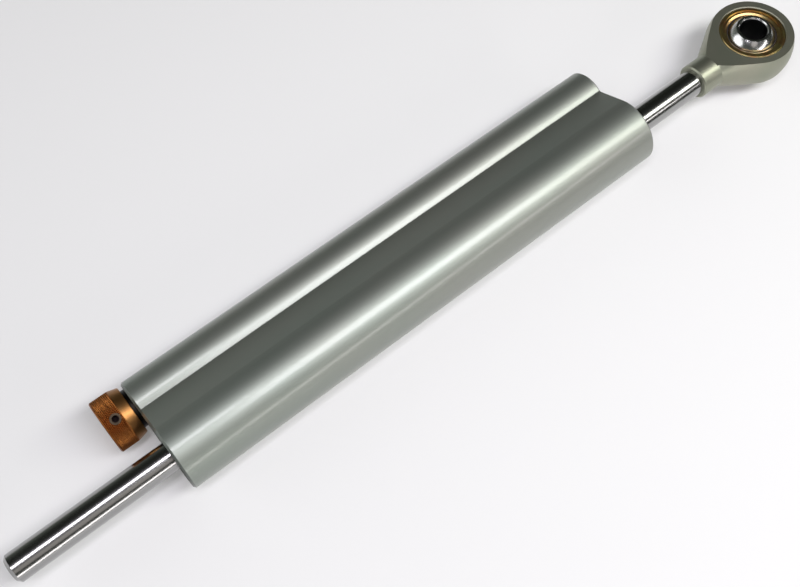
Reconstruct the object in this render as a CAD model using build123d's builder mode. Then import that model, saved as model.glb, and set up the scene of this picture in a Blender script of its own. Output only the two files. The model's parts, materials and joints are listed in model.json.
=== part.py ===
# Steering damper for a motorcycle: a twin tube body, a rod that passes right through it,
# a click adjuster at one end of the small tube and a spherical bearing in the rod's eye.
# The rod lies along X with the eye at +X. The origin is on the rod's axis, midway along the
# body, and the damper lies as it would on a table, on its main tube and its knob.
from build123d import *
from math import acos, asin, atan2, cos, radians, sin, sqrt, tan
import os

os.makedirs("parts", exist_ok=True)

# twin tube body
body_l = 160.0  # length of both tubes
main_bore_r = 8.0
main_wall = 2.25
small_bore_r = 5.0  # bore of the valve tube
small_wall = 2.35
web_t = 4.4  # between the two bores
valley_turn = 51.0  # round the small tube from the line of centres to the flat web, degrees
valley_r = 0.4  # hollow corner between the small tube and the web
edge_break = 0.6  # chamfer round both ends
port_r = 1.4  # cross holes between the bores

# fits and cuts
slip_gap = 0.02  # between pieces that slide together at assembly
run_gap = 0.04  # between pieces that move on each other
overrun = 1.0  # how far a cut runs past its piece

# circlips at the ends of the bores
clip_inset = 0.8
clip_t = 1.0
clip_play = 0.1
clip_depth = 0.6  # depth of its groove in the wall
clip_w = 1.3  # width of the band seen from the end
clip_eye_r = 1.25  # ears that take the pliers
clip_pin_r = 0.55
clip_open = 38.0  # opening between the ears, degrees

# rod
rod_r = 4.0
rod_out = 45.7  # bare rod beyond the body at the free end
rod_show = 26.5  # bare rod between the body and the eye
rod_nose = 0.9  # chamfer on the free tip
stud_step = 1.0  # how much thinner the thread is that screws into the eye
stud_l = 10.5
stud_room = 0.6  # left at the bottom of the tapped hole
end_gap = 0.6  # left between the eye and the body with the rod fully in

# seal heads
head_step = 0.7  # how much wider than the bore the heads sit
head_l = 24.0
nose_l = 8.7  # spigot that runs on into the main bore
head_chamfer = 0.4
head_clear = 0.25  # round the rod, between its guides
wiper_t = 2.3
wiper_w = 3.0
wiper_lip = 0.5  # how far the lip stands out of the head
wiper_lip_t = 0.7
wiper_back = 0.9  # relief behind the lip
seal_t = 2.2
seal_w = 3.2
seal_inset = 5.4  # from the head's outer face
seal_notch_w = 1.4
seal_notch_t = 0.6
bush_t = 1.0
bush_l = 12.0
bush_chamfer = 0.3
ring_w = 2.2  # grooves for the sealing rings
ring_depth = 1.2
ring_play = 0.1
ring_round = 0.45
ring_round_share = 0.3  # the most of a small ring's section that a corner takes
head_ring_inset = 13.0

# bump stops
bump_l = 5.0
bump_room = 1.6  # to the bore, where the oil reaches the port
bump_clear = 0.5  # round the rod
bump_round = 0.8

# piston
piston_l = 12.0
piston_clear = 0.15  # to the bore, which only its band touches
stop_gap = 0.5  # left at each end of the travel
band_w = 5.0
band_t = 0.95
band_split = 0.4
band_ring_t = 1.1
piston_edge = 0.4
snap_t = 0.8  # snap rings that hold the piston on the rod
snap_depth = 0.5
snap_w = 1.1
snap_open = 70.0  # degrees
snap_pocket = 0.3  # pocket in the piston's faces, deeper than the snap ring

# rod eye
shank_l = 24.6  # from the shank's end to the middle of the eye
shank_step = 1.25  # how much thicker the shank is than the rod
shank_edge = 0.4
eye_wall = 3.3  # round the race, where the turned ball of the head is widest
eye_flat_l = 18.0  # how far the flats reach down the shank
neck_angle = 30.0  # cone between the shank and the head
eye_roll = -6.7  # lean of the eye about the rod, degrees
mouth = 0.25  # chamfer round the race

# spherical bearing
ball_bore_r = 4.0
ball_chamfer = 0.5
ball_land = 0.7  # flat ring on the ball's end faces
ball_wall = 3.94
ball_proud = 1.35  # how far the ball stands out of the eye
race_wall = 2.01
race_sink = 0.15  # below the eye's flats
race_rim = 0.35  # chamfer on the race's outer edge
race_land = 1.05  # rim outside the dished face
race_dish = 0.35
race_mouth_w = 0.37
race_mouth = 0.75
liner_t = 0.45
liner_inset = 1.0

# adjuster: housing, spindle and knob
housing_step = 1.0  # how much wider than the bore the housing sits
housing_l = 18.0
nose_step = 0.3
nose_wall = 0.9
nose_out = 4.0  # how far the housing stands out of the tube
collar_t = 2.0
collar_clear = 0.1
spindle_wall = 0.4  # between the spindle's bearing and the detent's hole
spindle_ring_t = 0.8
spindle_ring_w = 1.4
spindle_ring_inset = 2.4
screw_step = 0.5  # how much thinner the lead screw is
screw_l = 13.0
journal_l = 6.0
spindle_clip_t = 0.7
spindle_clip_depth = 0.35
spindle_clip_w = 0.8
housing_ring_inset = 11.5
knob_wall = 1.5  # round the skirt, at the grip
knob_l = 8.2
knob_gap = 1.0  # between the knob and the tube's end
knob_grip_l = 5.3  # straight, knurled part
knob_back_wall = 0.75  # at the smaller end of the cone behind it
knob_edge = 0.3
knob_skirt_gap = 0.4  # round the housing's nose
knob_skirt_play = 0.2
knob_rim = 2.6  # round the shallow recess in the outer face
knob_dish = 0.5
spindle_inset = 0.9
grub_r = 1.5
grub_af = 1.5  # hexagon socket, across flats
grub_socket = 1.4
grub_sink = 0.15  # below the knob's surface
grub_x = 3.45  # from the knob's outer face
grub_angle = 17.0  # from straight up, towards the rod, degrees
flat_depth = 0.4  # of the spindle's flat under the grub screw

# detent under the spindle's collar
clicks = 12  # in a full turn
dimple_inset = 1.05  # from the collar's edge to the ring of dimples
detent_ball_r = 0.75
detent_hole_l = 5.0
detent_float = 0.02
dimple_r = 0.5
dimple_depth = 0.3
detent_spring_t = 0.2

# metering needle and its seat
carrier_af = 7.0  # hexagon, across flats
carrier_l = 9.0
carrier_x = 8.0  # from the tube's end to the carrier
carrier_bore_l = 7.5
needle_r = 1.9
needle_cone_l = 5.0
needle_tip_r = 0.5
needle_in = 1.8  # how far the tip reaches into the orifice at rest
seat_x = 46.0  # from the tube's end
seat_l = 8.0
seat_hole_r = 1.3
seat_mouth = 0.5
seat_wall = 1.8  # round the wider outlet behind the orifice
seat_out_l = 4.5

# compensator
comp_inset = 32.0  # inner face of its piston, from the body's end
comp_l = 6.0
comp_cup_r = 3.0
comp_cup_l = 2.0
comp_spring_gap = 0.85  # round its coil
comp_wire_r = 0.45
comp_turns = 5
comp_seat_gap = 0.05
plug_l = 8.0
plug_hole_r = 1.25  # tapped for the puller
plug_hole_l = 4.0
plug_ring_inset = 3.0

# sizes that follow from those above
main_r = main_bore_r + main_wall
small_r = small_bore_r + small_wall
tube_spacing = main_bore_r + small_bore_r + web_t
head_seat_r = main_bore_r + head_step
bump_r = main_bore_r - bump_room
wiper_r = rod_r + wiper_t
seal_r = rod_r + seal_t
bush_r = rod_r + bush_t
stud_r = rod_r - stud_step
shank_r = rod_r + shank_step
ball_r = ball_bore_r + ball_wall
ball_w = 2 * sqrt(ball_r**2 - (ball_bore_r + ball_chamfer + ball_land) ** 2)
race_r = ball_r + race_wall
eye_r = race_r + eye_wall
eye_w = ball_w - 2 * ball_proud
race_w = eye_w - 2 * race_sink
race_dish_r = race_r - race_land
liner_w = race_w - 2 * liner_inset
housing_r = small_bore_r + housing_step
nose_r = housing_r - nose_step
collar_r = nose_r - nose_wall - collar_clear
detent_r = collar_r - dimple_inset
spindle_r = detent_r - detent_ball_r - spindle_wall
spindle_flat = spindle_r - flat_depth
screw_r = spindle_r - screw_step
knob_skirt_r = nose_r + knob_skirt_gap
knob_r = knob_skirt_r + knob_wall
knob_back_r = knob_skirt_r + knob_back_wall
knob_dish_r = knob_r - knob_rim
seat_out_r = small_bore_r - seat_wall
comp_spring_r = small_bore_r - comp_spring_gap - comp_wire_r

# places worked out from the sizes
half_l = body_l / 2
lie = asin((main_r - knob_r) / tube_spacing)  # the knob and the main tube touch the table
small_y = tube_spacing * cos(lie)
small_z = -tube_spacing * sin(lie)
head_face = clip_inset + clip_t
shoulder = head_face + head_l
nose_end = shoulder + nose_l
chamber_end = nose_end + bump_l
port_inset = nose_end + bump_l / 2
comp_x = half_l - comp_inset
chamber_l = body_l - 2 * chamber_end
in_travel = rod_show - end_gap
out_travel = chamber_l - piston_l - 2 * stop_gap - in_travel
piston_x = -chamber_l / 2 + stop_gap + in_travel + piston_l / 2
rod_tip = -half_l - rod_out
shank_x = half_l + rod_show
eye_x = shank_x + shank_l
roll = radians(eye_roll)
ends = (("left", -1), ("right", 1))
print(f"rod travel {in_travel:.2f} in and {out_travel:.2f} out, eye at {eye_x:.2f}")

# planes and axes
valve_axis = Axis((0, small_y, small_z), (1, 0, 0))
valve_side = Plane(origin=(0, small_y, small_z), x_dir=(1, 0, 0), z_dir=(0, 0, 1))
eye_plane = Plane(origin=(eye_x, 0, 0), x_dir=(1, 0, 0), z_dir=(0, -sin(roll), cos(roll)))
eye_side = Plane(origin=(eye_x, 0, 0), x_dir=(1, 0, 0), z_dir=(0, -cos(roll), -sin(roll)))
eye_axis = Axis((eye_x, 0, 0), (0, -sin(roll), cos(roll)))


def across(x):
    """Plane square to the rod, with its own X pointing at the valve tube."""
    return Plane(origin=(x, 0, 0), x_dir=(0, cos(lie), -sin(lie)), z_dir=(1, 0, 0))


def across_valve(x):
    """The same, centred on the valve tube's axis."""
    return Plane(origin=(x, small_y, small_z), x_dir=(0, cos(lie), -sin(lie)), z_dir=(1, 0, 0))


def from_end(side, depth):
    """Place along X that lies this deep inside one end of the body."""
    return side * (half_l - depth)


def band(x0, x1, inner, outer, mode=Mode.ADD):
    """Rectangle between two places along the axis and two radii."""
    with Locations(((x0 + x1) / 2, (inner + outer) / 2)):
        Rectangle(abs(x1 - x0), outer - inner, mode=mode)


def soft_band(x0, x1, inner, outer):
    """The same with rounded corners, for a sealing ring squeezed in its groove."""
    corner = min(ring_round, ring_round_share * (outer - inner), ring_round_share * abs(x1 - x0))
    with Locations(((x0 + x1) / 2, (inner + outer) / 2)):
        RectangleRounded(abs(x1 - x0), outer - inner, corner)


def circlip(groove_r, eye_r_in, pin_r, opening):
    """Flat ring with an opening and two ears, drawn about the sketch's origin."""
    ear_r = groove_r - clip_w - eye_r_in / 2
    Circle(groove_r - slip_gap)
    Circle(groove_r - clip_w - clip_depth, mode=Mode.SUBTRACT)
    reach = 2 * groove_r
    spread = radians(opening / 2)
    far_x = reach * cos(spread)
    far_y = reach * sin(spread)
    with BuildLine(mode=Mode.PRIVATE) as wedge:
        Polyline((0, 0), (far_x, far_y), (far_x, -far_y), close=True)
    make_face(wedge.edges(), mode=Mode.SUBTRACT)
    lean = spread + eye_r_in / ear_r
    ears = [(ear_r * cos(lean), ear_r * sin(lean)), (ear_r * cos(lean), -ear_r * sin(lean))]
    with Locations(*ears):
        Circle(eye_r_in)
        Circle(pin_r, mode=Mode.SUBTRACT)


# The body is one bar with two bores. On each side a flat web leaves the main tube as a tangent
# and meets the small tube in a sharp hollow corner.
corner_x = tube_spacing - small_r * cos(radians(valley_turn))
corner_y = small_r * sin(radians(valley_turn))
web_turn = atan2(corner_y, corner_x) + acos(main_r / sqrt(corner_x**2 + corner_y**2))
web_x = main_r * cos(web_turn)
web_y = main_r * sin(web_turn)
groove_r = head_seat_r + clip_depth
plug_groove_r = small_bore_r + clip_depth
with BuildPart() as cylinder_body:
    with BuildSketch(across(-half_l)):
        with BuildLine():
            Polyline(
                (0, 0), (web_x, web_y), (corner_x, corner_y), (tube_spacing, 0),
                (corner_x, -corner_y), (web_x, -web_y), close=True,
            )
        make_face()
        Circle(main_r)
        with Locations((tube_spacing, 0)):
            Circle(small_r)
        hollows = [vertices().sort_by_distance((corner_x, side * corner_y))[0] for side in (1, -1)]
        fillet(hollows, valley_r)
    extrude(amount=body_l)
    end_faces = faces().filter_by(GeomType.PLANE).filter_by(Axis.X)
    chamfer(end_faces.edges(), edge_break)
    with BuildSketch(Plane.XY):
        band(-half_l - overrun, half_l + overrun, 0, main_bore_r)
        for end, side in ends:
            band(from_end(side, -overrun), from_end(side, shoulder), 0, head_seat_r)
            band(from_end(side, clip_inset), from_end(side, head_face + clip_play), 0, groove_r)
    revolve(axis=Axis.X, mode=Mode.SUBTRACT)
    with BuildSketch(valve_side):
        band(-half_l - overrun, half_l + overrun, 0, small_bore_r)
        band(from_end(-1, -overrun), from_end(-1, housing_l), 0, housing_r)
        band(from_end(1, clip_inset), from_end(1, head_face + clip_play), 0, plug_groove_r)
    revolve(axis=valve_axis, mode=Mode.SUBTRACT)
    for end, side in ends:
        port_x = from_end(side, port_inset)
        with BuildSketch(Plane(origin=(port_x, 0, 0), x_dir=(1, 0, 0), z_dir=(0, cos(lie), -sin(lie)))):
            Circle(port_r)
        extrude(amount=tube_spacing, mode=Mode.SUBTRACT)
cylinder_body.part.label = "cylinder_body"
export_step(cylinder_body.part, "parts/cylinder_body.step")

# Each end of the main bore has the same stack: circlip, seal head with wiper, rod seal and
# bush, and a bump stop on the head's spigot.
head_out_r = head_seat_r - slip_gap
head_ring_floor = head_seat_r - ring_depth
for end, side in ends:
    with BuildPart() as seal_head:
        with BuildSketch(Plane.XY):
            band(from_end(side, head_face), from_end(side, shoulder), 0, head_out_r)
            band(from_end(side, shoulder), from_end(side, nose_end), 0, main_bore_r - slip_gap)
            ring_at = from_end(side, head_face + head_ring_inset)
            ring_to = ring_at - side * ring_w
            band(ring_at, ring_to, head_ring_floor, main_r, Mode.SUBTRACT)
            band(from_end(side, 0), from_end(side, nose_end + overrun), 0, rod_r + head_clear, Mode.SUBTRACT)
            band(from_end(side, 0), from_end(side, head_face + wiper_w), 0, wiper_r, Mode.SUBTRACT)
            seal_at = head_face + seal_inset
            band(from_end(side, seal_at), from_end(side, seal_at + seal_w), 0, seal_r, Mode.SUBTRACT)
            bush_at = nose_end - bush_l
            band(from_end(side, bush_at), from_end(side, nose_end + overrun), 0, bush_r, Mode.SUBTRACT)
        revolve(axis=Axis.X)
        outer_rims = edges().filter_by(GeomType.CIRCLE).group_by(SortBy.RADIUS)[-1].sort_by(Axis.X)
        chamfer([outer_rims[0], outer_rims[-1]], head_chamfer)
    seal_head.part.label = f"seal_head_{end}"
    export_step(seal_head.part, f"parts/seal_head_{end}.step")

    with BuildPart() as rod_wiper:
        lip_r = rod_r + run_gap
        lip_at = head_face - wiper_lip
        with BuildSketch(Plane.XY):
            with BuildLine():
                Polyline(
                    (from_end(side, head_face + wiper_w), lip_r + wiper_back),
                    (from_end(side, head_face + wiper_back), lip_r + wiper_back),
                    (from_end(side, lip_at), lip_r),
                    (from_end(side, lip_at), lip_r + wiper_lip_t),
                    (from_end(side, head_face), lip_r + wiper_lip_t + wiper_back),
                    (from_end(side, head_face), wiper_r),
                    (from_end(side, head_face + wiper_w), wiper_r),
                    close=True,
                )
            make_face()
        revolve(axis=Axis.X)
    rod_wiper.part.label = f"rod_wiper_{end}"
    export_step(rod_wiper.part, f"parts/rod_wiper_{end}.step")

    with BuildPart() as rod_seal:
        seal_mid = (lip_r + seal_r) / 2
        with BuildSketch(Plane.XY):
            band(from_end(side, seal_at), from_end(side, seal_at + seal_w), lip_r, seal_r)
            seal_to = from_end(side, seal_at + seal_w)
            notch_low = seal_mid - seal_notch_t / 2
            notch_top = seal_mid + seal_notch_t / 2
            band(seal_to + side * seal_notch_w, seal_to, notch_low, notch_top, Mode.SUBTRACT)
        revolve(axis=Axis.X)
    rod_seal.part.label = f"rod_seal_{end}"
    export_step(rod_seal.part, f"parts/rod_seal_{end}.step")

    with BuildPart() as rod_bush:
        with BuildSketch(Plane.XY):
            band(from_end(side, bush_at), from_end(side, nose_end), lip_r, bush_r)
        revolve(axis=Axis.X)
        chamfer(edges().filter_by(GeomType.CIRCLE).group_by(SortBy.RADIUS)[0], bush_chamfer)
    rod_bush.part.label = f"rod_bush_{end}"
    export_step(rod_bush.part, f"parts/rod_bush_{end}.step")

    with BuildPart() as head_ring:
        with BuildSketch(Plane.XY):
            soft_band(ring_at - side * ring_play, ring_to + side * ring_play, head_ring_floor, head_seat_r)
        revolve(axis=Axis.X)
    head_ring.part.label = f"head_ring_{end}"
    export_step(head_ring.part, f"parts/head_ring_{end}.step")

    with BuildPart() as head_circlip:
        with BuildSketch(across(from_end(side, clip_inset + clip_t / 2 * (1 + side)))):
            circlip(groove_r, clip_eye_r, clip_pin_r, clip_open)
        extrude(amount=clip_t)
    head_circlip.part.label = f"head_circlip_{end}"
    export_step(head_circlip.part, f"parts/head_circlip_{end}.step")

    with BuildPart() as bump_stop:
        with BuildSketch(Plane.XY):
            band(from_end(side, nose_end), from_end(side, chamber_end), rod_r + bump_clear, bump_r)
        revolve(axis=Axis.X)
        inner_face = faces().filter_by(GeomType.PLANE).sort_by(Axis.X)[0 if side > 0 else -1]
        fillet(inner_face.edges().sort_by(SortBy.RADIUS)[-1], bump_round)
    bump_stop.part.label = f"bump_stop_{end}"
    export_step(bump_stop.part, f"parts/bump_stop_{end}.step")

# Rod, ground and plated, with a groove each side of the piston and a stud for the eye.
piston_in = piston_x - piston_l / 2
piston_out = piston_x + piston_l / 2
pocket = snap_t + snap_pocket
with BuildPart() as piston_rod:
    with BuildSketch(Plane.XY):
        band(rod_tip, shank_x, 0, rod_r)
        band(shank_x, shank_x + stud_l, 0, stud_r)
        for face_x, way in ((piston_in, 1), (piston_out, -1)):
            groove_x = face_x + way * pocket
            band(groove_x - way * snap_t, groove_x, rod_r - snap_depth, rod_r, Mode.SUBTRACT)
    revolve(axis=Axis.X)
    chamfer(edges().filter_by(GeomType.CIRCLE).sort_by(Axis.X)[0], rod_nose)
piston_rod.part.label = "piston_rod"
export_step(piston_rod.part, "parts/piston_rod.step")

# Piston with a split band that rides on the bore and a rubber ring that pushes it out.
piston_r = main_bore_r - piston_clear
snap_out_r = rod_r - snap_depth + snap_w
band_out_r = main_bore_r - run_gap
band_in_r = band_out_r - band_t
band_floor = band_in_r - run_gap - band_ring_t
band_room = band_w / 2 + run_gap
with BuildPart() as piston:
    with BuildSketch(Plane.XY):
        band(piston_in, piston_out, rod_r, piston_r)
        band(piston_x - band_room, piston_x + band_room, band_floor, main_bore_r, Mode.SUBTRACT)
        for face_x, way in ((piston_in, 1), (piston_out, -1)):
            band(face_x - way * overrun, face_x + way * pocket, rod_r, snap_out_r + slip_gap, Mode.SUBTRACT)
    revolve(axis=Axis.X)
    rims = edges().filter_by(GeomType.CIRCLE).group_by(SortBy.RADIUS)[-1].sort_by(Axis.X)
    chamfer([rims[0], rims[-1]], piston_edge)
piston.part.label = "piston"
export_step(piston.part, "parts/piston.step")

with BuildPart() as piston_band:
    with BuildSketch(across(piston_x - band_w / 2)):
        Circle(band_out_r)
        Circle(band_in_r, mode=Mode.SUBTRACT)
        with Locations((0, main_bore_r)):
            Rectangle(band_split, main_bore_r, mode=Mode.SUBTRACT)
    extrude(amount=band_w)
piston_band.part.label = "piston_band"
export_step(piston_band.part, "parts/piston_band.step")

with BuildPart() as piston_ring:
    with BuildSketch(Plane.XY):
        soft_band(piston_x - band_w / 2, piston_x + band_w / 2, band_floor, band_floor + band_ring_t)
    revolve(axis=Axis.X)
piston_ring.part.label = "piston_ring"
export_step(piston_ring.part, "parts/piston_ring.step")

with BuildPart() as piston_clips:
    for groove_x in (piston_in + snap_pocket, piston_out - snap_pocket - snap_t):
        with BuildSketch(across(groove_x)):
            Circle(snap_out_r)
            Circle(rod_r - snap_depth, mode=Mode.SUBTRACT)
            gape = snap_out_r * sin(radians(snap_open / 2))
            with Locations((snap_out_r, 0)):
                Rectangle(2 * snap_out_r, 2 * gape, mode=Mode.SUBTRACT)
        extrude(amount=snap_t)
piston_clips.part.label = "piston_clips"
export_step(piston_clips.part, "parts/piston_clips.step")

# Eye: turned in one setting as a shank, a cone and a ball, then milled flat on both sides.
neck = radians(neck_angle)
touch_x = -eye_r * sin(neck)
touch_r = eye_r * cos(neck)
neck_x = touch_x - (touch_r - shank_r) / tan(neck)
with BuildPart() as rod_eye:
    with BuildSketch(eye_plane):
        with BuildLine():
            Polyline((eye_r, 0), (-shank_l, 0), (-shank_l, shank_r), (neck_x, shank_r), (touch_x, touch_r))
            ThreePointArc((touch_x, touch_r), (eye_r * sin(neck), eye_r * cos(neck)), (eye_r, 0))
        make_face()
    revolve(axis=Axis.X)
    chamfer(edges().filter_by(GeomType.CIRCLE).sort_by(Axis.X)[0], shank_edge)
    for way in (1, -1):
        with BuildSketch(eye_plane.offset(way * eye_w / 2)):
            with Locations(((eye_r - eye_flat_l) / 2, 0)):
                Rectangle(eye_r + eye_flat_l, 2 * eye_r)
        extrude(amount=way * eye_r, mode=Mode.SUBTRACT)
    with BuildSketch(eye_plane):
        Circle(race_r)
    extrude(amount=eye_w, both=True, mode=Mode.SUBTRACT)
    rounds = edges().filter_by(GeomType.CIRCLE)
    chamfer(rounds.filter_by(lambda edge: abs(edge.radius - race_r) < slip_gap), mouth)
    with BuildSketch(Plane.YZ.offset(shank_x)):
        Circle(stud_r)
    extrude(amount=stud_l + stud_room, mode=Mode.SUBTRACT)
rod_eye.part.label = "rod_eye"
export_step(rod_eye.part, "parts/rod_eye.step")

# Bearing: a bronze race pressed into the eye, a thin liner shell and the ball.
liner_out_r = ball_r + run_gap + liner_t
race_ball_r = liner_out_r + run_gap
race_h = race_w / 2
with BuildPart() as bearing_race:
    with BuildSketch(eye_side):
        with BuildLine():
            Polyline(
                (0, race_h - race_dish),
                (race_dish_r, race_h - race_dish),
                (race_dish_r, race_h),
                (race_r - race_rim, race_h),
                (race_r, race_h - race_rim),
                (race_r, race_rim - race_h),
                (race_r - race_rim, -race_h),
                (race_dish_r, -race_h),
                (race_dish_r, race_dish - race_h),
                (0, race_dish - race_h),
                close=True,
            )
        make_face()
        Circle(race_ball_r, mode=Mode.SUBTRACT)
    revolve(axis=eye_axis)
    sharp = edges().filter_by(GeomType.CIRCLE).group_by(SortBy.RADIUS)[0]
    chamfer(sharp, race_mouth_w, race_mouth)
bearing_race.part.label = "bearing_race"
export_step(bearing_race.part, "parts/bearing_race.step")

with BuildPart() as bearing_liner:
    with BuildSketch(eye_side):
        with Locations((liner_out_r / 2, 0)):
            Rectangle(liner_out_r, liner_w)
        Circle(liner_out_r, mode=Mode.INTERSECT)
        Circle(ball_r + run_gap, mode=Mode.SUBTRACT)
    revolve(axis=eye_axis)
bearing_liner.part.label = "bearing_liner"
export_step(bearing_liner.part, "parts/bearing_liner.step")

with BuildPart() as bearing_ball:
    with BuildSketch(eye_side):
        with Locations(((ball_bore_r + ball_r) / 2, 0)):
            Rectangle(ball_r - ball_bore_r, ball_w)
        Circle(ball_r, mode=Mode.INTERSECT)
    revolve(axis=eye_axis)
    chamfer(edges().filter_by(GeomType.CIRCLE).group_by(SortBy.RADIUS)[0], ball_chamfer)
bearing_ball.part.label = "bearing_ball"
export_step(bearing_ball.part, "parts/bearing_ball.step")

# Adjuster housing: screwed into the valve tube, with the spindle's bearing, the hole for the
# detent and a hexagon bore that keeps the needle carrier from turning.
tube_end = -half_l
nose_x = tube_end - nose_out
journal_end = tube_end + journal_l
housing_end = tube_end + housing_l
housing_ring_x = tube_end + housing_ring_inset
housing_floor = housing_r - ring_depth
collar_seat_r = collar_r + collar_clear
collar_x = tube_end - run_gap - collar_t
clip_groove_r = collar_seat_r + spindle_clip_depth
with BuildPart() as adjuster_housing:
    with BuildSketch(valve_side):
        band(nose_x, tube_end, 0, nose_r)
        band(tube_end, housing_end, 0, housing_r - slip_gap)
        band(housing_ring_x, housing_ring_x + ring_w, housing_floor, housing_r, Mode.SUBTRACT)
        band(nose_x, tube_end, 0, collar_seat_r, Mode.SUBTRACT)
        band(collar_x - spindle_clip_t - clip_play, collar_x, 0, clip_groove_r, Mode.SUBTRACT)
        band(tube_end, journal_end, 0, spindle_r + run_gap, Mode.SUBTRACT)
    revolve(axis=valve_axis)
    with BuildSketch(across_valve(journal_end)):
        RegularPolygon(carrier_af / 2 + run_gap, 6, major_radius=False)
    extrude(amount=housing_l - journal_l, mode=Mode.SUBTRACT)
    with BuildSketch(across_valve(tube_end)):
        with Locations((0, detent_r)):
            Circle(detent_ball_r + run_gap)
    extrude(amount=detent_hole_l, mode=Mode.SUBTRACT)
adjuster_housing.part.label = "adjuster_housing"
export_step(adjuster_housing.part, "parts/adjuster_housing.step")

with BuildPart() as housing_ring:
    with BuildSketch(valve_side):
        soft_band(housing_ring_x + ring_play, housing_ring_x + ring_w - ring_play, housing_floor, housing_r)
    revolve(axis=valve_axis)
housing_ring.part.label = "housing_ring"
export_step(housing_ring.part, "parts/housing_ring.step")

# Spindle: knob end with a flat for the grub screw, collar with the ring of dimples, sealed
# journal and lead screw.
knob_back = tube_end - knob_gap
knob_face = knob_back - knob_l
screw_x = knob_face + grub_x
spindle_ring_x = tube_end + spindle_ring_inset
spindle_floor = spindle_r - spindle_ring_t
screw_dir = (0, -sin(radians(grub_angle)), cos(radians(grub_angle)))
screw_plane = Plane(origin=(screw_x, small_y, small_z), x_dir=(1, 0, 0), z_dir=screw_dir)
with BuildPart() as adjuster_spindle:
    with BuildSketch(valve_side):
        band(knob_face + spindle_inset, journal_end, 0, spindle_r)
        band(collar_x, tube_end - run_gap, 0, collar_r)
        band(journal_end, journal_end + screw_l - journal_l, 0, screw_r)
        band(spindle_ring_x, spindle_ring_x + spindle_ring_w, spindle_floor, spindle_r, Mode.SUBTRACT)
    revolve(axis=valve_axis)
    with BuildSketch(across_valve(tube_end - run_gap)):
        with PolarLocations(detent_r, clicks, start_angle=90):
            Circle(dimple_r)
    extrude(amount=-dimple_depth, mode=Mode.SUBTRACT)
    with BuildSketch(screw_plane.offset(spindle_flat)):
        Rectangle(2 * grub_r, 2 * spindle_r)
    extrude(amount=spindle_r, mode=Mode.SUBTRACT)
adjuster_spindle.part.label = "adjuster_spindle"
export_step(adjuster_spindle.part, "parts/adjuster_spindle.step")

with BuildPart() as spindle_ring:
    with BuildSketch(valve_side):
        soft_band(spindle_ring_x, spindle_ring_x + spindle_ring_w, spindle_floor, spindle_r)
    revolve(axis=valve_axis)
spindle_ring.part.label = "spindle_ring"
export_step(spindle_ring.part, "parts/spindle_ring.step")

with BuildPart() as spindle_clip:
    with BuildSketch(across_valve(collar_x - clip_play - spindle_clip_t)):
        Circle(clip_groove_r - slip_gap)
        Circle(collar_seat_r - spindle_clip_w, mode=Mode.SUBTRACT)
        gape = collar_r * sin(radians(clip_open / 2))
        with Locations((collar_r, 0)):
            Rectangle(2 * collar_r, 2 * gape, mode=Mode.SUBTRACT)
    extrude(amount=spindle_clip_t)
spindle_clip.part.label = "spindle_clip"
export_step(spindle_clip.part, "parts/spindle_clip.step")

# Knob: straight grip, cone behind it, and a skirt that hides the housing's nose.
with BuildPart() as adjuster_knob:
    with BuildSketch(valve_side):
        with BuildLine():
            Polyline(
                (knob_face, 0),
                (knob_face, knob_r - knob_edge),
                (knob_face + knob_edge, knob_r),
                (knob_face + knob_grip_l, knob_r),
                (knob_back, knob_back_r),
                (knob_back, 0),
                close=True,
            )
        make_face()
        band(nose_x - knob_skirt_play, knob_back, 0, knob_skirt_r, Mode.SUBTRACT)
        band(knob_face, nose_x, 0, spindle_r, Mode.SUBTRACT)
        band(knob_face, knob_face + knob_dish, 0, knob_dish_r, Mode.SUBTRACT)
    revolve(axis=valve_axis)
    with BuildSketch(screw_plane):
        Circle(grub_r)
    extrude(amount=knob_r + overrun, mode=Mode.SUBTRACT)
adjuster_knob.part.label = "adjuster_knob"
export_step(adjuster_knob.part, "parts/adjuster_knob.step")

grub_top = knob_r - grub_sink
with BuildPart() as knob_grub_screw:
    with BuildSketch(screw_plane.offset(spindle_flat)):
        Circle(grub_r)
    extrude(amount=grub_top - spindle_flat)
    with BuildSketch(screw_plane.offset(grub_top)):
        RegularPolygon(grub_af / 2, 6, major_radius=False)
    extrude(amount=-grub_socket, mode=Mode.SUBTRACT)
knob_grub_screw.part.label = "knob_grub_screw"
export_step(knob_grub_screw.part, "parts/knob_grub_screw.step")

# Detent ball, pressed against the collar by its spring.
detent_plane = across_valve(tube_end)
ball_at = detent_float + detent_ball_r
with BuildPart() as detent_ball:
    with Locations(detent_plane):
        with Locations((0, detent_r, ball_at)):
            Sphere(detent_ball_r)
detent_ball.part.label = "detent_ball"
export_step(detent_ball.part, "parts/detent_ball.step")

spring_from = ball_at + detent_ball_r + dimple_depth + detent_float
with BuildPart() as detent_spring:
    with BuildSketch(across_valve(tube_end + spring_from)):
        with Locations((0, detent_r)):
            Circle(detent_ball_r - run_gap)
            Circle(detent_ball_r - run_gap - detent_spring_t, mode=Mode.SUBTRACT)
    extrude(amount=detent_hole_l - spring_from)
detent_spring.part.label = "detent_spring"
export_step(detent_spring.part, "parts/detent_spring.step")

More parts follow.
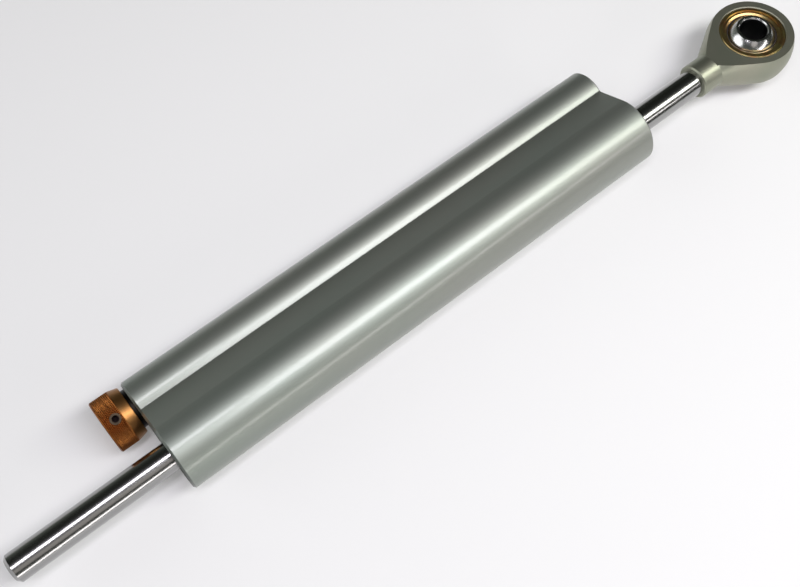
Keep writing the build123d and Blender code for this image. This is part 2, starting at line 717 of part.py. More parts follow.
# Needle: hexagon carrier that the lead screw moves, long stem and cone in the seat.
carrier_at = tube_end + carrier_x
seat_at = tube_end + seat_x
needle_end = seat_at + needle_in
with BuildPart() as adjuster_needle:
    with BuildSketch(across_valve(carrier_at)):
        RegularPolygon(carrier_af / 2, 6, major_radius=False)
    extrude(amount=carrier_l)
    with BuildSketch(valve_side):
        with BuildLine():
            Polyline(
                (carrier_at + carrier_l, 0),
                (carrier_at + carrier_l, needle_r),
                (needle_end - needle_cone_l, needle_r),
                (needle_end, needle_tip_r),
                (needle_end, 0),
                close=True,
            )
        make_face()
    revolve(axis=valve_axis)
    with BuildSketch(across_valve(carrier_at)):
        Circle(screw_r + run_gap)
    extrude(amount=carrier_bore_l, mode=Mode.SUBTRACT)
adjuster_needle.part.label = "adjuster_needle"
export_step(adjuster_needle.part, "parts/adjuster_needle.step")

seat_end = seat_at + seat_l
seat_ring_x = seat_at + (seat_l - ring_w) / 2
seat_floor = small_bore_r - ring_depth
with BuildPart() as valve_seat:
    with BuildSketch(valve_side):
        band(seat_at, seat_end, seat_hole_r, small_bore_r)
        band(seat_ring_x, seat_ring_x + ring_w, seat_floor, small_bore_r, Mode.SUBTRACT)
        band(seat_end - seat_out_l, seat_end, 0, seat_out_r, Mode.SUBTRACT)
    revolve(axis=valve_axis)
    seat_rims = edges().filter_by(GeomType.CIRCLE).group_by(SortBy.RADIUS)[0].sort_by(Axis.X)
    chamfer(seat_rims[0], seat_mouth)
valve_seat.part.label = "valve_seat"
export_step(valve_seat.part, "parts/valve_seat.step")

with BuildPart() as seat_ring:
    with BuildSketch(valve_side):
        soft_band(seat_ring_x + ring_play, seat_ring_x + ring_w - ring_play, seat_floor, small_bore_r)
    revolve(axis=valve_axis)
seat_ring.part.label = "seat_ring"
export_step(seat_ring.part, "parts/seat_ring.step")

# Compensator: a floating piston backed by a spring takes up the oil's growth as it warms.
comp_end = comp_x + comp_l
comp_r = small_bore_r - run_gap
comp_ring_x = comp_x + (comp_l - comp_cup_l - ring_w) / 2
comp_floor = small_bore_r - ring_depth
with BuildPart() as compensator_piston:
    with BuildSketch(valve_side):
        band(comp_x, comp_end, 0, comp_r)
        band(comp_ring_x, comp_ring_x + ring_w, comp_floor, small_bore_r, Mode.SUBTRACT)
        band(comp_end - comp_cup_l, comp_end, 0, comp_cup_r, Mode.SUBTRACT)
    revolve(axis=valve_axis)
compensator_piston.part.label = "compensator_piston"
export_step(compensator_piston.part, "parts/compensator_piston.step")

with BuildPart() as compensator_ring:
    with BuildSketch(valve_side):
        soft_band(comp_ring_x + ring_play, comp_ring_x + ring_w - ring_play, comp_floor, comp_r)
    revolve(axis=valve_axis)
compensator_ring.part.label = "compensator_ring"
export_step(compensator_ring.part, "parts/compensator_ring.step")

plug_at = half_l - head_face - plug_l
plug_end = plug_at + plug_l
plug_ring_x = plug_at + plug_ring_inset
with BuildPart() as end_plug:
    with BuildSketch(valve_side):
        band(plug_at, plug_end, 0, small_bore_r - slip_gap)
        band(plug_ring_x, plug_ring_x + ring_w, seat_floor, small_bore_r, Mode.SUBTRACT)
        band(plug_end - plug_hole_l, plug_end, 0, plug_hole_r, Mode.SUBTRACT)
    revolve(axis=valve_axis)
end_plug.part.label = "end_plug"
export_step(end_plug.part, "parts/end_plug.step")

with BuildPart() as plug_ring:
    with BuildSketch(valve_side):
        soft_band(plug_ring_x + ring_play, plug_ring_x + ring_w - ring_play, seat_floor, small_bore_r)
    revolve(axis=valve_axis)
plug_ring.part.label = "plug_ring"
export_step(plug_ring.part, "parts/plug_ring.step")

with BuildPart() as plug_circlip:
    with BuildSketch(across_valve(plug_end)):
        Circle(plug_groove_r - slip_gap)
        Circle(plug_groove_r - clip_depth - clip_w, mode=Mode.SUBTRACT)
        gape = small_bore_r * sin(radians(clip_open / 2))
        with Locations((small_bore_r, 0)):
            Rectangle(2 * small_bore_r, 2 * gape, mode=Mode.SUBTRACT)
    extrude(amount=clip_t)
plug_circlip.part.label = "plug_circlip"
export_step(plug_circlip.part, "parts/plug_circlip.step")

# Spring between the compensator's piston and the plug: an open coil of round wire.
spring_at = comp_end + comp_wire_r + comp_seat_gap
spring_l = plug_at - comp_wire_r - comp_seat_gap - spring_at
with BuildPart() as compensator_spring:
    coil_pitch = spring_l / comp_turns
    coil_from = (spring_at, small_y, small_z)
    with BuildLine():
        coil = Helix(coil_pitch, spring_l, comp_spring_r, center=coil_from, direction=(1, 0, 0))
    with BuildSketch(Plane(origin=coil @ 0, z_dir=coil % 0)):
        Circle(comp_wire_r)
    sweep()
compensator_spring.part.label = "compensator_spring"
export_step(compensator_spring.part, "parts/compensator_spring.step")
coil_gap = coil_pitch - 2 * comp_wire_r
print(f"least gap between the spring's turns {coil_gap:.2f}")
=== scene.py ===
import bpy
import json
from math import cos, pi, radians, sin, tan
from mathutils import Matrix, Vector


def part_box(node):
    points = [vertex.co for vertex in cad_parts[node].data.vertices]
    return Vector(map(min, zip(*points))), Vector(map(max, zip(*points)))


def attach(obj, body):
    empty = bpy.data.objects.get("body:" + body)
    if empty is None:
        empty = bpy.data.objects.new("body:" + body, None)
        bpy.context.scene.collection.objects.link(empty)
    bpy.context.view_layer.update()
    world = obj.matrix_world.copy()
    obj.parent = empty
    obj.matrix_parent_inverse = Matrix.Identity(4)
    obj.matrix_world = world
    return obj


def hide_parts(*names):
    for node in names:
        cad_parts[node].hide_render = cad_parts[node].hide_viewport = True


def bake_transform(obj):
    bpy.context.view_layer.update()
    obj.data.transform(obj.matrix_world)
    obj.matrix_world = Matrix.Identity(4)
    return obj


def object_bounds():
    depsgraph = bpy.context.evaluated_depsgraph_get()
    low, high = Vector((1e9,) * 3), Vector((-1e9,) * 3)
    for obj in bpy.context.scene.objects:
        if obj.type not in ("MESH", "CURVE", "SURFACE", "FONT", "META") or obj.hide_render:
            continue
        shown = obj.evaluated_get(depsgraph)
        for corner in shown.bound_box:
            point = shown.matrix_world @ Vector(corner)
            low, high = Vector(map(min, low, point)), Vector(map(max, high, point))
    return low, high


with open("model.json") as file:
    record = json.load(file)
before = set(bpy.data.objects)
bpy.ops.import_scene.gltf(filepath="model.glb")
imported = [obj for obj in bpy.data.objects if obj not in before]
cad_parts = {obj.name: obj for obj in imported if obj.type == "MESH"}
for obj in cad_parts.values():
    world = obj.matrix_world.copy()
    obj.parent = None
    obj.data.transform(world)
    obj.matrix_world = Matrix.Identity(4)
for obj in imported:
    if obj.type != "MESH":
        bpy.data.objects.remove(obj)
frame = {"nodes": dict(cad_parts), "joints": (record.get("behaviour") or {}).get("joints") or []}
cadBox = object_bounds()
nodes = frame["nodes"]
print("frame loaded,", len(nodes), "nodes")


class Wire:
    # a socket inside a tree; arithmetic on it adds Math nodes
    def __init__(self, tree, socket):
        self.tree = tree
        self.socket = socket

    def out(self, name):
        return Wire(self.tree, self.socket.node.outputs[name])

    def math(self, operation, first, second=None, clamp=False):
        values = {0: first} if second is None else {0: first, 1: second}
        settings = {"operation": operation, "use_clamp": clamp}
        return self.tree.node("ShaderNodeMath", settings, values)

    def __add__(self, other):
        return self.math("ADD", self, other)

    def __radd__(self, other):
        return self.math("ADD", other, self)

    def __sub__(self, other):
        return self.math("SUBTRACT", self, other)

    def __rsub__(self, other):
        return self.math("SUBTRACT", other, self)

    def __mul__(self, other):
        return self.math("MULTIPLY", self, other)

    def __rmul__(self, other):
        return self.math("MULTIPLY", other, self)

    def __truediv__(self, other):
        return self.math("DIVIDE", self, other)

    def __rtruediv__(self, other):
        return self.math("DIVIDE", other, self)

    def __pow__(self, other):
        return self.math("POWER", self, other)

    def __rpow__(self, other):
        return self.math("POWER", other, self)

    def __abs__(self):
        return self.math("ABSOLUTE", self)

    def step(self, low, high):
        # 0 below low, 1 above high, a ramp between
        return self.math("MULTIPLY", self - low, 1 / (high - low), clamp=True)

    def spread(self, middle, width):
        # a value round the middle, moved by a noise that runs from 0 to 1
        return middle + width * (self - 0.5)


class Tree:
    # nodes and links in one node tree
    def __init__(self, nodeTree):
        self.nodeTree = nodeTree

    def join(self, value, socket):
        if isinstance(value, Wire):
            self.nodeTree.links.new(value.socket, socket)
        elif socket.type == "RGBA":
            socket.default_value = (*value[:3], 1)
        else:
            socket.default_value = value

    def node(self, kind, settings=None, values=None):
        made = self.nodeTree.nodes.new(kind)
        for name, value in (settings or {}).items():
            setattr(made, name, value)
        for key, value in (values or {}).items():
            self.join(value, made.inputs[key])
        return Wire(self, made.outputs[0])

    def vector(self, operation, first, second=None):
        values = {0: first} if second is None else {0: first, 1: second}
        return self.node("ShaderNodeVectorMath", {"operation": operation}, values)

    def mix(self, share, first, second):
        values = {0: share, 6: first, 7: second}
        return self.node("ShaderNodeMix", {"data_type": "RGBA"}, values).out(2)


class Finish(Tree):
    # one material: constants go straight on the shader, the rest comes as wires
    def __init__(self, name, constants):
        self.material = bpy.data.materials.new(name)
        self.material.use_nodes = True
        super().__init__(self.material.node_tree)
        self.shader = self.nodeTree.nodes["Principled BSDF"]
        for socket, value in constants.items():
            self.join(value, self.shader.inputs[socket])
        self.place = self.node("ShaderNodeTexCoord").out("Object")

    def noise(self, scales, detail=2.0):
        # scales are per metre along X, Y and Z: marks run along the least scaled axis
        values = {"Vector": self.vector("MULTIPLY", self.place, scales), "Scale": 1.0, "Detail": detail}
        return self.node("ShaderNodeTexNoise", {}, values)

    def rings(self, radius, pitch):
        # marks of turning or milling, by the distance from their centre line
        values = {"W": radius / pitch, "Scale": 1.0}
        return self.node("ShaderNodeTexNoise", {"noise_dimensions": "1D"}, values)

    def along(self):
        return self.node("ShaderNodeSeparateXYZ", {}, {0: self.place}).out("X")

    def reach(self, point, axis):
        # distance from a line through the point along the axis
        offset = self.vector("SUBTRACT", self.place, point)
        return self.vector("LENGTH", self.vector("CROSS_PRODUCT", offset, axis)).out("Value")

    def bump(self, height, depth, under=None):
        values = {"Distance": depth, "Height": height}
        if under is not None:
            values["Normal"] = under
        return self.node("ShaderNodeBump", {}, values)

    def show(self, **links):
        names = {
            "colour": "Base Color", "roughness": "Roughness", "normal": "Normal", "glow": "Emission Color",
        }
        for key, wire in links.items():
            self.join(wire, self.shader.inputs[names[key]])

    def cover(self, piece):
        piece.data.materials.clear()
        piece.data.materials.append(self.material)

    def wear(self, *names):
        for name in names:
            self.cover(nodes[name])


def shade(colour, share):
    return [share * part for part in colour]


# where things are, from the frame
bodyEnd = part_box("cylinder_body")[1].x
knobLow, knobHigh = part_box("adjuster_knob")
knobCentre = (knobLow + knobHigh) / 2
knobRadius = (knobHigh.z - knobLow.z) / 2
screwLow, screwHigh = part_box("knob_grub_screw")
screwCentre = (screwLow + screwHigh) / 2
screwRadius = (screwHigh.x - screwLow.x) / 2
screwHub = Vector((screwCentre.x, knobCentre.y, knobCentre.z))
screwAxis = (screwCentre - screwHub).normalized()
ballLow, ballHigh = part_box("bearing_ball")
eyeCentre = (ballLow + ballHigh) / 2
joints = {joint["name"]: joint for joint in frame["joints"]}
eyeAxis = Vector(joints["ball_spin"]["axis"]).normalized()
floorZ = cadBox[0][2]

bodyLook = {
    "colour": (0.264, 0.294, 0.262),
    "warm": (0.288, 0.300, 0.270),
    "metal": 0.86,
    "roughness": 0.48,
    "lineSpread": 0.05,
    "cloudSpread": 0.04,
    "coat": 0.45,  # the sealed anodised skin
    "coatRoughness": 0.15,
    "linePitch": 0.00035,  # across the tubes
    "lineLength": 0.03,
    "lineShare": 0.6,  # of the bump; the blasting has the rest
    "blastPitch": 0.00012,
    "bumpDepth": 0.000004,
    "clouds": (14.0, 60.0, 60.0),
    "cloudEdges": (0.35, 0.65),
    "endShadeFrom": 0.00066,  # from the body's ends, where the painted shade at the ends starts
    "endShadeTo": 0.00048,
    "endShadeShare": 0.45,  # how much of the colour the ends keep under the painted shade
}


def bodyFinish(look):
    # bead blasted bar, anodised: a fine grain with faint drawn lines along the tubes
    constants = {
        "Metallic": look["metal"], "Coat Weight": look["coat"], "Coat Roughness": look["coatRoughness"],
    }
    finish = Finish("satinAluminium", constants)
    across = 1 / look["linePitch"]
    lines = finish.noise((1 / look["lineLength"], across, across), detail=3.0)
    blast = finish.noise((1 / look["blastPitch"],) * 3, detail=1.0)
    clouds = finish.noise(look["clouds"])
    # painted shade: the colour is darker in a thin band at each end of the body
    shadedEnds = abs(finish.along()).step(bodyEnd - look["endShadeFrom"], bodyEnd - look["endShadeTo"])
    skin = finish.mix(clouds.step(*look["cloudEdges"]), look["colour"], look["warm"])
    finish.show(
        colour=finish.mix(shadedEnds, skin, shade(look["colour"], look["endShadeShare"])),
        roughness=lines.spread(clouds.spread(look["roughness"], look["cloudSpread"]), look["lineSpread"]),
        normal=finish.bump(look["lineShare"] * lines + (1 - look["lineShare"]) * blast, look["bumpDepth"]),
    )
    return finish


chromeLook = {
    "colour": (0.36, 0.36, 0.355),
    "smearShade": 0.96,
    "roughness": 0.17,
    "markRoughness": 0.03,
    "smearRoughness": 0.02,
    "markPitch": 0.00018,  # of the grinding marks round the rod
    "markScale": 30.0,
    "smears": (60.0, 350.0, 350.0),
    "smearEdges": (0.3, 0.8),
    "bumpDepth": 0.0000012,
}


def rodFinish(look):
    # hard chrome over a ground rod: marks run round it
    finish = Finish("hardChrome", {"Metallic": 1.0})
    marks = finish.noise((1 / look["markPitch"], look["markScale"], look["markScale"]), detail=3.0)
    smears = finish.noise(look["smears"])
    smeared = shade(look["colour"], look["smearShade"])
    finish.show(
        colour=finish.mix(smears.step(*look["smearEdges"]), look["colour"], smeared),
        roughness=look["roughness"] + look["markRoughness"] * marks + look["smearRoughness"] * smears,
        normal=finish.bump(marks, look["bumpDepth"]),
    )
    return finish


eyeLook = {
    "colour": (0.285, 0.30, 0.235),
    "warm": (0.325, 0.32, 0.255),
    "metal": 0.9,
    "roughness": 0.42,
    "turnedSpread": 0.08,
    "milledSpread": 0.05,
    "cutPitch": 0.00022,  # of the turning and milling marks
    "turnedScale": 40.0,
    "turnedShare": 0.5,  # of the bump; the milling has the rest
    "clouds": (90.0, 90.0, 90.0),
    "cloudEdges": (0.35, 0.7),
    "bumpDepth": 0.000004,
}


def eyeFinish(look):
    # turned and milled, then anodised: rings round the shank, arcs on the flats
    finish = Finish("eyeAluminium", {"Metallic": look["metal"]})
    turned = finish.noise((1 / look["cutPitch"], look["turnedScale"], look["turnedScale"]))
    milled = finish.rings(finish.reach(eyeCentre, eyeAxis), look["cutPitch"])
    clouds = finish.noise(look["clouds"])
    cuts = look["turnedShare"] * turned + (1 - look["turnedShare"]) * milled
    finish.show(
        colour=finish.mix(clouds.step(*look["cloudEdges"]), look["colour"], look["warm"]),
        roughness=turned.spread(milled.spread(look["roughness"], look["milledSpread"]), look["turnedSpread"]),
        normal=finish.bump(cuts, look["bumpDepth"]),
    )
    return finish


raceLook = {
    "gold": (0.50, 0.41, 0.17),
    "red": (0.42, 0.25, 0.11),
    "roughness": 0.32,
    "ringSpread": 0.12,
    "patchSpread": 0.1,
    "cutPitch": 0.00016,
    "patches": (230.0, 230.0, 230.0),
    "patchEdges": (0.42, 0.62),
    "bumpDepth": 0.000006,
}


def raceFinish(look):
    # turned bronze: fine rings, with darker red patches where it has run warm
    finish = Finish("turnedBronze", {"Metallic": 1.0})
    rings = finish.rings(finish.reach(eyeCentre, eyeAxis), look["cutPitch"])
    patches = finish.noise(look["patches"], detail=3.0)
    finish.show(
        colour=finish.mix(patches.step(*look["patchEdges"]), look["gold"], look["red"]),
        roughness=rings.spread(patches.spread(look["roughness"], look["patchSpread"]), look["ringSpread"]),
        normal=finish.bump(rings, look["bumpDepth"]),
    )
    return finish


ballLook = {
    "colour": (0.60, 0.60, 0.60),
    "boreShade": (0.012, 0.012, 0.013),
    "roughness": 0.20,
    "boreRoughness": 0.5,
    "boreFrom": 0.00415,  # radius where the painted shade of the bore ends and the polish starts
    "boreTo": 0.004233,
    "scuffs": (700.0, 700.0, 700.0),
    "scuffEdges": (0.5, 0.8),
    "scuffRoughness": 0.05,
    "bumpDepth": 0.000001,
}


def ballFinish(look):
    # polished outside, dull in the bore, with painted shade: the bore is painted near black
    finish = Finish("ballChrome", {"Metallic": 1.0})
    # inside this radius the colour is painted shade
    outside = finish.reach(eyeCentre, eyeAxis).step(look["boreFrom"], look["boreTo"])
    scuffs = finish.noise(look["scuffs"], detail=4.0)
    dulled = (look["boreRoughness"] - look["roughness"]) * (1 - outside)
    scuffed = look["scuffRoughness"] * scuffs.step(*look["scuffEdges"])
    finish.show(
        colour=finish.mix(outside, look["boreShade"], look["colour"]),
        roughness=look["roughness"] + dulled + scuffed,
        normal=finish.bump(scuffs, look["bumpDepth"]),
    )
    return finish


screwLook = {
    "colour": (0.040, 0.030, 0.020),
    "worn": 1.5,
    # painted shade: the colour of the socket, near black
    "socket": (0.006, 0.004, 0.004),
    "socketShadeEdges": (0.0009114, 0.00098),  # radius where the socket's painted shade turns into the rim
    "roughness": 0.5,
    "stainSpread": 0.1,
    "stains": (900.0, 900.0, 900.0),
    "stainEdges": (0.4, 0.7),
    "bumpDepth": 0.000004,
}


def screwFinish(look):
    # blackened steel, with painted shade in the socket
    finish = Finish("grubSteel", {"Metallic": 1.0})
    rim = finish.reach(screwCentre, screwAxis).step(*look["socketShadeEdges"])
    stains = finish.noise(look["stains"], detail=3.0)
    worn = finish.mix(stains.step(*look["stainEdges"]), look["colour"], shade(look["colour"], look["worn"]))
    finish.show(
        colour=finish.mix(rim, look["socket"], worn),
        roughness=stains.spread(look["roughness"], look["stainSpread"]),
        normal=finish.bump(stains, look["bumpDepth"]),
    )
    return finish


smallLooks = {
    "darkAnodised": {"colour": (0.017, 0.015, 0.013), "metal": 1.0, "roughness": 0.42, "pitch": 0.0002},
    "brightSteel": {"colour": (0.55, 0.55, 0.54), "metal": 1.0, "roughness": 0.25, "pitch": 0.0002},
    "springSteel": {"colour": (0.17, 0.165, 0.16), "metal": 1.0, "roughness": 0.4, "pitch": 0.0003},
    "turnedBrass": {"colour": (0.70, 0.52, 0.22), "metal": 1.0, "roughness": 0.25, "pitch": 0.0002},
    "sealRubber": {"colour": (0.018, 0.018, 0.018), "metal": 0.0, "roughness": 0.6, "pitch": 0.0004},
    "stopUrethane": {"colour": (0.45, 0.30, 0.08), "metal": 0.0, "roughness": 0.5, "pitch": 0.0005},
    "bearingBand": {"colour": (0.16, 0.11, 0.06), "metal": 0.0, "roughness": 0.55, "pitch": 0.0003},
    "wovenLiner": {"colour": (0.03, 0.022, 0.015), "metal": 0.0, "roughness": 0.7, "pitch": 0.0003},
}
smallMarks = {
    "scale": 200.0,
    "spread": 0.1,
    "bumpDepth": 0.000004,
    "stains": (400.0, 400.0, 400.0),
    "stainEdges": (0.35, 0.7),
    "stainShade": 0.8,
}


def smallFinish(name):
    # turned, moulded or woven, by the pitch of the marks round the part
    look = smallLooks[name]
    finish = Finish(name, {"Metallic": look["metal"]})
    marks = finish.noise((1 / look["pitch"], smallMarks["scale"], smallMarks["scale"]))
    stains = finish.noise(smallMarks["stains"], detail=3.0)
    darker = shade(look["colour"], smallMarks["stainShade"])
    finish.show(
        colour=finish.mix(stains.step(*smallMarks["stainEdges"]), look["colour"], darker),
        roughness=marks.spread(look["roughness"], smallMarks["spread"]),
        normal=finish.bump(marks, smallMarks["bumpDepth"]),
    )
    return finish


bodyFinish(bodyLook).wear("cylinder_body")
rodFinish(chromeLook).wear("piston_rod")
eyeFinish(eyeLook).wear("rod_eye")
raceFinish(raceLook).wear("bearing_race")
ballFinish(ballLook).wear("bearing_ball")
screwFinish(screwLook).wear("knob_grub_screw")
smallFinish("darkAnodised").wear(
    "seal_head_left", "seal_head_right", "adjuster_housing", "end_plug", "piston", "compensator_piston",
)
smallFinish("brightSteel").wear("adjuster_spindle", "detent_ball")
springFinish = smallFinish("springSteel")
springFinish.wear(
    "head_circlip_left", "head_circlip_right", "plug_circlip", "spindle_clip", "detent_spring",
    "compensator_spring", "piston_clips",
)
smallFinish("turnedBrass").wear("adjuster_needle", "valve_seat")
smallFinish("sealRubber").wear(
    "rod_wiper_left", "rod_wiper_right", "rod_seal_left", "rod_seal_right", "head_ring_left",
    "head_ring_right", "housing_ring", "seat_ring", "plug_ring", "spindle_ring", "compensator_ring",
    "piston_ring",
)
smallFinish("stopUrethane").wear("bump_stop_left", "bump_stop_right")
smallFinish("bearingBand").wear("rod_bush_left", "rod_bush_right", "piston_band")
smallFinish("wovenLiner").wear("bearing_liner")
print("finishes of the CAD pieces made")


def meshPiece(name, points, faces):
    mesh = bpy.data.meshes.new(name)
    mesh.from_pydata(points, [], faces)
    mesh.update()
    piece = bpy.data.objects.new(name, mesh)
    bpy.context.scene.collection.objects.link(piece)
    return piece


def smooth(piece, sharpAngle):
    for polygon in piece.data.polygons:
        polygon.use_smooth = True
    piece.data.set_sharp_from_angle(angle=radians(sharpAngle))


knobLook = {
    "grip": (0.20, 0.072, 0.018),
    "gripWorn": 1.35,
    "cone": (0.31, 0.150, 0.050),
    "roughness": 0.40,
    "stainSpread": 0.08,
    "stains": (500.0, 500.0, 500.0),
    "stainEdges": (0.3, 0.8),
    "stainDepth": 0.000002,
    "turnedPitch": 0.00015,
    "turnedScale": 60.0,
    "turnedDepth": 0.000003,
    "gripLength": 0.0053,
    "gripRows": 60,
    "edge": 0.0003,
    "coneDrop": 0.00075,
    "skirtDepth": 0.0032,  # how far the skirt reaches in from the back
    "skirtWall": 0.0015,  # from the grip's radius
    "dishDepth": 0.0005,
    "dishRim": 0.0026,
    "holeRadius": 0.0025,  # for the spindle
    "drillSides": 96,
    "knurlStarts": 88,
    "knurlAngle": 30.0,
    "knurlDepth": 0.0002,
    "knurlSharpness": 6,
    "knurlRunOut": 0.15,  # share of the depth that is left at the grip's ends
    "stepsPerStart": 6,
    "sharpAngle": 32.0,
}


def knobFinish(look):
    # anodised, with a plain turned cone behind the grip
    finish = Finish("bronzeAnodised", {"Metallic": 1.0})
    coneFrom = knobLow.x + look["gripLength"]
    onCone = finish.along().step(coneFrom, coneFrom + look["edge"])
    stains = finish.noise(look["stains"], detail=3.0)
    turned = finish.noise((1 / look["turnedPitch"], look["turnedScale"], look["turnedScale"]))
    worn = finish.mix(stains.step(*look["stainEdges"]), look["grip"], shade(look["grip"], look["gripWorn"]))
    finish.show(
        colour=finish.mix(onCone, worn, look["cone"]),
        roughness=stains.spread(look["roughness"], look["stainSpread"]),
        normal=finish.bump(turned, look["turnedDepth"], under=finish.bump(stains, look["stainDepth"])),
    )
    return finish


def turnedPiece(name, centre, outline, steps, relief):
    # closed outline of (x, radius) spun about a line along X through the centre
    points = []
    for turn in range(steps):
        angle = 2 * pi * turn / steps
        for x, radius in outline:
            cut = radius - relief(x, radius, angle)
            points.append((x, centre.y + cut * cos(angle), centre.z + cut * sin(angle)))
    count = len(outline)
    faces = []
    for turn in range(steps):
        here = turn * count
        there = (turn + 1) % steps * count
        for index in range(count):
            after = (index + 1) % count
            faces.append((here + index, there + index, there + after, here + after))
    return meshPiece(name, points, faces)


def cutAway(piece, cutter):
    modifier = piece.modifiers.new("cut", "BOOLEAN")
    modifier.operation = "DIFFERENCE"
    modifier.solver = "EXACT"
    modifier.object = cutter
    graph = bpy.context.evaluated_depsgraph_get()
    mesh = bpy.data.meshes.new_from_object(piece.evaluated_get(graph))
    piece.modifiers.clear()
    piece.data = mesh
    bpy.data.objects.remove(cutter)


def drillAcross(piece, look):
    # the grub screw's hole, from the knob's axis outwards
    bpy.ops.mesh.primitive_cylinder_add(vertices=look["drillSides"], radius=screwRadius, depth=2 * knobRadius)
    drill = bpy.context.object
    turn = screwAxis.to_track_quat("Z", "Y").to_matrix().to_4x4()
    drill.matrix_world = Matrix.Translation(screwHub + screwAxis * knobRadius) @ turn
    bpy.context.view_layer.update()
    cutAway(piece, drill)


def knurledKnob(look):
    face = knobLow.x
    back = knobHigh.x
    edge = look["edge"]
    gripFrom = face + edge
    gripEnd = face + look["gripLength"]
    outer = knobRadius
    backRadius = outer - look["coneDrop"]
    skirtRadius = outer - look["skirtWall"]
    skirtEnd = back - look["skirtDepth"]
    dishFloor = face + look["dishDepth"]
    dishRadius = outer - look["dishRim"]
    outline = [(dishFloor, look["holeRadius"]), (dishFloor, dishRadius)]
    outline += [(face, dishRadius + edge / 2), (face, outer - edge)]
    for row in range(look["gripRows"] + 1):
        outline.append((gripFrom + (gripEnd - gripFrom) * row / look["gripRows"], outer))
    outline += [(gripEnd + edge / 2, outer - edge / 8), (back - edge / 2, backRadius + edge / 8)]
    outline += [(back, backRadius - edge / 2), (back, skirtRadius), (skirtEnd, skirtRadius)]
    outline += [(skirtEnd, look["holeRadius"])]
    starts = look["knurlStarts"]
    climb = starts * tan(radians(look["knurlAngle"])) / outer

    def knurl(x, radius, angle):
        # two crossing sets of grooves, fading out at both ends of the grip
        if radius < outer:
            return 0.0
        phase = starts * angle
        along = climb * (x - gripFrom)
        wave = max(abs(cos((phase + along) / 2)), abs(cos((phase - along) / 2)))
        rest = look["knurlRunOut"]
        fade = min(1.0, (x - gripFrom) / edge + rest, (gripEnd - x) / edge + rest)
        return look["knurlDepth"] * wave ** look["knurlSharpness"] * fade

    knob = turnedPiece("knurledKnob", knobCentre, outline, starts * look["stepsPerStart"], knurl)
    drillAcross(knob, look)
    smooth(knob, look["sharpAngle"])
    knobFinish(look).cover(knob)
    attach(knob, "knob")
    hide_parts("adjuster_knob")


knurledKnob(knobLook)
print("knurled knob made")

coilLook = {
    "turns": 5,
    "wire": 0.00045,
    "stepsPerTurn": 60,
    "wireSides": 14,
    "endGap": 0.00005,
    "sharpAngle": 40.0,
}


def compensatorCoil(look):
    # the spring between the floating piston and the plug, which closes and opens with the piston; here it is
    # one fixed coil in the spring's box
    low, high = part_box("compensator_spring")
    centre = (low + high) / 2
    wire = look["wire"]
    radius = (high.z - low.z) / 2 - wire
    start = low.x + wire
    length = high.x - low.x - 2 * wire
    steps = look["turns"] * look["stepsPerTurn"]
    sides = look["wireSides"]
    climb = length / (2 * pi * look["turns"])
    points = []
    for step in range(steps + 1):
        angle = 2 * pi * look["turns"] * step / steps
        outward = Vector((0, cos(angle), sin(angle)))
        ahead = Vector((climb, -radius * sin(angle), radius * cos(angle))).normalized()
        beside = ahead.cross(outward)
        middle = Vector((start + length * step / steps, centre.y, centre.z)) + radius * outward
        for side in range(sides):
            around = 2 * pi * side / sides
            points.append(middle + wire * (cos(around) * outward + sin(around) * beside))
    faces = [tuple(reversed(range(sides))), tuple(range(steps * sides, (steps + 1) * sides))]
    for step in range(steps):
        here = step * sides
        there = here + sides
        for side in range(sides):
            after = (side + 1) % sides
            faces.append((here + side, here + after, there + after, there + side))
    coil = meshPiece("compensatorCoil", points, faces)
    smooth(coil, look["sharpAngle"])
    springFinish.cover(coil)
    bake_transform(coil)
    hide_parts("compensator_spring")


compensatorCoil(coilLook)
print("compensator coil made")

cameraLook = {
    "place": (-0.083132, -0.080782, 0.257756),
    "forward": (0.27313, 0.28657, -0.9183),
    "up": (0.56037, 0.72852, 0.39401),
    "lens": 46.53,
    "sensor": 36.0,
    "clipStart": 0.01,
}


def addCamera(look):
    camera = bpy.data.objects.new("camera", bpy.data.cameras.new("camera"))
    forward = Vector(look["forward"]).normalized()
    right = forward.cross(Vector(look["up"])).normalized()
    up = right.cross(forward)
    turn = Matrix((right, up, -forward)).transposed().to_4x4()
    camera.matrix_world = Matrix.Translation(look["place"]) @ turn
    camera.data.lens = look["lens"]
    camera.data.sensor_width = look["sensor"]
    camera.data.clip_start = look["clipStart"]
    bpy.context.scene.collection.objects.link(camera)
    bpy.context.scene.camera = camera


# each lamp lies between two ends, facing the damper
lamps = {
    "overheadLeft": {
        "ends": ((-0.34, -0.065, 0.6), (0.0, -0.050, 0.6)), "width": 0.10,
        "power": 1.3, "colour": (1.0, 0.965, 1.04), "shape": "RECTANGLE",
    },
    "overhead": {
        "ends": ((0.0, -0.20, 0.6), (0.34, -0.26, 0.6)), "width": 0.20,
        "power": 2.45, "colour": (0.99, 0.97, 1.03), "shape": "RECTANGLE",
    },
    "overheadRight": {
        "ends": ((0.34, -0.26, 0.6), (0.90, -0.36, 0.6)), "width": 0.20,
        "power": 3.1, "colour": (0.98, 1.0, 0.90), "shape": "RECTANGLE",
    },
    "side": {
        "ends": ((-0.34, -0.70, 0.05), (0.66, -0.70, 0.44)), "width": 0.08,
        "power": 1.8, "colour": (1.0, 0.95, 0.95), "shape": "RECTANGLE",
    },
    "sideSoft": {
        "ends": ((-0.34, -0.44, 0.52), (0.02, -0.44, 0.52)), "width": 0.34,
        "power": 0.17, "colour": (1.0, 0.93, 0.88), "shape": "ELLIPSE",
    },
    "leftFill": {
        "ends": ((-1.25, 0.0, 0.5), (-0.75, 1.3, 0.5)), "width": 0.9,
        "power": 6.0, "colour": (0.98, 0.99, 1.0), "shape": "ELLIPSE",
    },
}


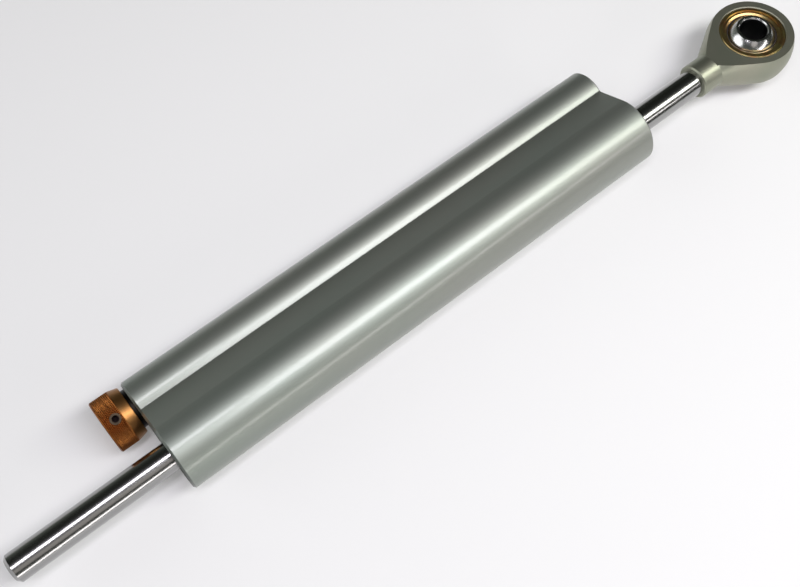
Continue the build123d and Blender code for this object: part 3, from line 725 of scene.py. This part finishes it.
def addLamp(name, look):
    start, end = (Vector(point) for point in look["ends"])
    middle = (start + end) / 2
    lamp = bpy.data.lights.new(name, "AREA")
    lamp.shape = look["shape"]
    lamp.size = (end - start).length
    lamp.size_y = look["width"]
    lamp.energy = look["power"]
    lamp.color = look["colour"]
    along = (end - start).normalized()
    away = (middle - along * middle.dot(along)).normalized()
    turn = Matrix((along, away.cross(along), away)).transposed().to_4x4()
    holder = bpy.data.objects.new(name, lamp)
    holder.matrix_world = Matrix.Translation(middle) @ turn
    bpy.context.scene.collection.objects.link(holder)


roomLook = {
    "ceiling": (0.017, 0.020, 0.015),
    "horizon": (0.32, 0.35, 0.31),
    "fall": 3.0,  # how fast the glow fades upwards
    "leftShare": 0.75,
}


def horizonGlow(tree, right, low):
    # brighter to the left, dark to the right and overhead
    left = right.math("SUBTRACT", roomLook["leftShare"], right, clamp=True)
    return tree.mix(left * low, roomLook["ceiling"], roomLook["horizon"])


def addWorld():
    world = bpy.data.worlds.new("room")
    world.use_nodes = True
    tree = Tree(world.node_tree)
    place = tree.node("ShaderNodeTexCoord").out("Generated")
    parts = tree.node("ShaderNodeSeparateXYZ", {}, {0: place})
    low = (1 - abs(parts.out("Z"))) ** roomLook["fall"]
    background = world.node_tree.nodes["Background"]
    tree.join(horizonGlow(tree, parts.out("X"), low), background.inputs["Color"])
    bpy.context.scene.world = world
    bpy.context.scene.view_settings.view_transform = "Standard"


floorLook = {
    "size": 12.0,
    "cells": 2,
    "colour": (0.62, 0.62, 0.62),
    "speckles": (900.0, 900.0, 900.0),
    "speckleShade": 0.99,
    "roughness": 0.6,
    "glow": (0.16, 0.16, 0.16),  # a light table
    "fadeEdges": (0.7, 3.0),  # where the table turns into the horizon
}


def addFloor(look):
    cells = look["cells"]
    bpy.ops.mesh.primitive_grid_add(
        x_subdivisions=cells, y_subdivisions=cells, size=look["size"], location=(0, 0, floorZ),
    )
    floor = bpy.context.object
    floor.name = "floor"
    finish = Finish("paleFloor", {"Roughness": look["roughness"], "Emission Strength": 1.0})
    speckles = finish.noise(look["speckles"])
    away = finish.reach(Vector((0, 0, 0)), Vector((0, 0, 1)))
    rim = horizonGlow(finish, finish.along() / away, 1.0)
    finish.show(
        colour=finish.mix(speckles, look["colour"], shade(look["colour"], look["speckleShade"])),
        glow=finish.mix(away.step(*look["fadeEdges"]), look["glow"], rim),
    )
    finish.cover(floor)


addCamera(cameraLook)
for lampName, lampLook in lamps.items():
    addLamp(lampName, lampLook)
addWorld()
addFloor(floorLook)
print("camera, lamps and floor made")
